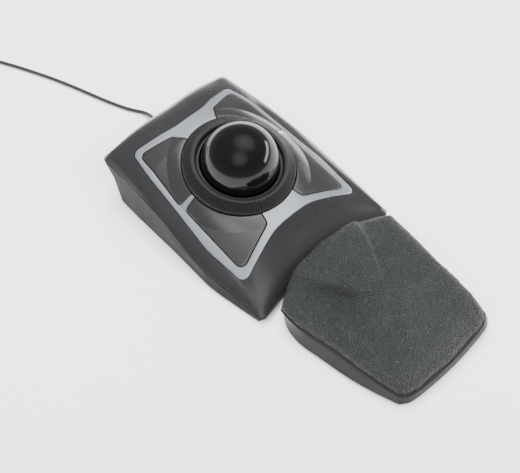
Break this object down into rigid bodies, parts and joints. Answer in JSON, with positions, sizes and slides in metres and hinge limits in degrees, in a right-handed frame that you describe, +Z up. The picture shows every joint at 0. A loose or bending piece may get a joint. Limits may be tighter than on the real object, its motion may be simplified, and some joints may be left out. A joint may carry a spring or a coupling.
{
  "type": "trackball mouse",
  "caption": "Desk trackball with a large ball in a tilted scroll ring, corner buttons on a silver bezel, a USB cable and a slide-off padded wrist rest.",
  "frame": {"origin": "centre of the box of the device and its wrist rest, without the cord, on the surface they stand on", "axes": "+X to the user's right, +Y away from the user, +Z up"},
  "size_m": [0.1695, 0.52, 0.0695],
  "materials": {
    "cover_gloss": "glossy dark graphite",
    "base_matte": "fine matt grain",
    "bezel_silver": "silver paint under a clear coat",
    "button_satin": "satin dark grey",
    "ring_rubber": "soft black, finely ribbed",
    "ball_gloss": "polished black resin",
    "inner_plastic": "moulded black",
    "pin_steel": "plain steel",
    "bearing_ceramic": "polished ceramic",
    "board_green": "solder mask",
    "switch_black": "moulded black",
    "plunger_red": "moulded red",
    "lens_clear": "clear moulded lens",
    "foot_rubber": "matt rubber",
    "cable_rubber": "smooth black PVC",
    "plug_plastic": "moulded black",
    "plug_metal": "nickel plated",
    "rest_leather": "grained dark grey leatherette",
    "rest_side": "plain dark plastic"
  },
  "bodies": {
    "housing": {"base_housing": "base_matte", "top_cover": "cover_gloss", "bezel_plate": "bezel_silver", "button_frame": "inner_plastic", "main_board": "board_green", "switch_back_left": "switch_black", "switch_back_right": "switch_black", "switch_front_left": "switch_black", "switch_front_right": "switch_black", "hinge_pin_back_left": "pin_steel", "hinge_pin_back_right": "pin_steel", "hinge_pin_front_left": "pin_steel", "hinge_pin_front_right": "pin_steel", "ball_cup": "inner_plastic", "ball_bearing_1": "bearing_ceramic", "ball_bearing_2": "bearing_ceramic", "ball_bearing_3": "bearing_ceramic", "sensor_lens": "lens_clear", "sensor_chip": "switch_black", "sensor_board": "board_green", "encoder_sensor": "switch_black", "cover_screw_back_left": "pin_steel", "cover_screw_back_right": "pin_steel", "cover_screw_front_left": "pin_steel", "cover_screw_front_right": "pin_steel", "frame_screw_back_left": "pin_steel", "frame_screw_back_right": "pin_steel", "frame_screw_front_left": "pin_steel", "frame_screw_front_right": "pin_steel", "device_foot_back_left": "foot_rubber", "device_foot_back_right": "foot_rubber", "device_foot_front_left": "foot_rubber", "device_foot_front_right": "foot_rubber", "strain_relief": "cable_rubber", "cable": "cable_rubber", "cable_tail": "cable_rubber", "cable_coil": "cable_rubber", "usb_plug_body": "plug_plastic", "usb_plug_shell": "plug_metal"},
    "ball": {"ball": "ball_gloss"},
    "scroll_ring": {"scroll_ring": "ring_rubber", "encoder_ring": "inner_plastic"},
    "button_back_left": {"button_back_left": "button_satin"},
    "button_back_right": {"button_back_right": "button_satin"},
    "button_front_left": {"button_front_left": "button_satin"},
    "button_front_right": {"button_front_right": "button_satin"},
    "plunger_back_left": {"switch_plunger_back_left": "plunger_red"},
    "plunger_back_right": {"switch_plunger_back_right": "plunger_red"},
    "plunger_front_left": {"switch_plunger_front_left": "plunger_red"},
    "plunger_front_right": {"switch_plunger_front_right": "plunger_red"},
    "wrist_rest": {"rest_tray": "rest_side", "rest_pad": "rest_leather", "rest_foot_back_left": "foot_rubber", "rest_foot_back_right": "foot_rubber", "rest_foot_front_left": "foot_rubber", "rest_foot_front_right": "foot_rubber"}
  },
  "joints": [
    {"name": "ball_roll", "type": "hinge", "parent": "housing", "child": "ball", "pos_m": [0, 0.057, 0.042], "axis": [1, 0, 0], "continuous": true},
    {"name": "ring_spin", "type": "hinge", "parent": "housing", "child": "scroll_ring", "pos_m": [0, 0.057, 0.042], "axis": [0, -0.1994, 0.9799], "continuous": true},
    {"name": "button_back_left_press", "type": "hinge", "parent": "housing", "child": "button_back_left", "pos_m": [-0.044, 0.08995, 0.03054], "axis": [0, 0.9799, 0.1994], "range_deg": [0, 2.5], "stiffness_Nm_per_rad": 0.08, "springref_deg": -1.72},
    {"name": "button_back_right_press", "type": "hinge", "parent": "housing", "child": "button_back_right", "pos_m": [0.044, 0.08995, 0.03054], "axis": [0, -0.9799, -0.1994], "range_deg": [0, 2.5], "stiffness_Nm_per_rad": 0.08, "springref_deg": -1.72},
    {"name": "button_front_left_press", "type": "hinge", "parent": "housing", "child": "button_front_left", "pos_m": [-0.044, 0.03507, 0.01937], "axis": [0, 0.9799, 0.1994], "range_deg": [0, 2.5], "stiffness_Nm_per_rad": 0.08, "springref_deg": -1.72},
    {"name": "button_front_right_press", "type": "hinge", "parent": "housing", "child": "button_front_right", "pos_m": [0.044, 0.03507, 0.01937], "axis": [0, -0.9799, -0.1994], "range_deg": [0, 2.5], "stiffness_Nm_per_rad": 0.08, "springref_deg": -1.72},
    {"name": "plunger_back_left_slide", "type": "slide", "parent": "housing", "child": "plunger_back_left", "axis": [0, 0.1994, -0.9799], "range_m": [0, 0.0006]},
    {"name": "plunger_back_right_slide", "type": "slide", "parent": "housing", "child": "plunger_back_right", "axis": [0, 0.1994, -0.9799], "range_m": [0, 0.0006]},
    {"name": "plunger_front_left_slide", "type": "slide", "parent": "housing", "child": "plunger_front_left", "axis": [0, 0.1994, -0.9799], "range_m": [0, 0.0006]},
    {"name": "plunger_front_right_slide", "type": "slide", "parent": "housing", "child": "plunger_front_right", "axis": [0, 0.1994, -0.9799], "range_m": [0, 0.0006]},
    {"name": "wrist_rest_pull", "type": "slide", "parent": "housing", "child": "wrist_rest", "axis": [0, -1, 0], "range_m": [0, 0.03]}
  ],
  "couplings": [
    {"joint": "plunger_back_left_slide", "follows": "button_back_left_press", "m_per_rad": 0.01},
    {"joint": "plunger_back_right_slide", "follows": "button_back_right_press", "m_per_rad": 0.01},
    {"joint": "plunger_front_left_slide", "follows": "button_front_left_press", "m_per_rad": 0.01},
    {"joint": "plunger_front_right_slide", "follows": "button_front_right_press", "m_per_rad": 0.01}
  ]
}
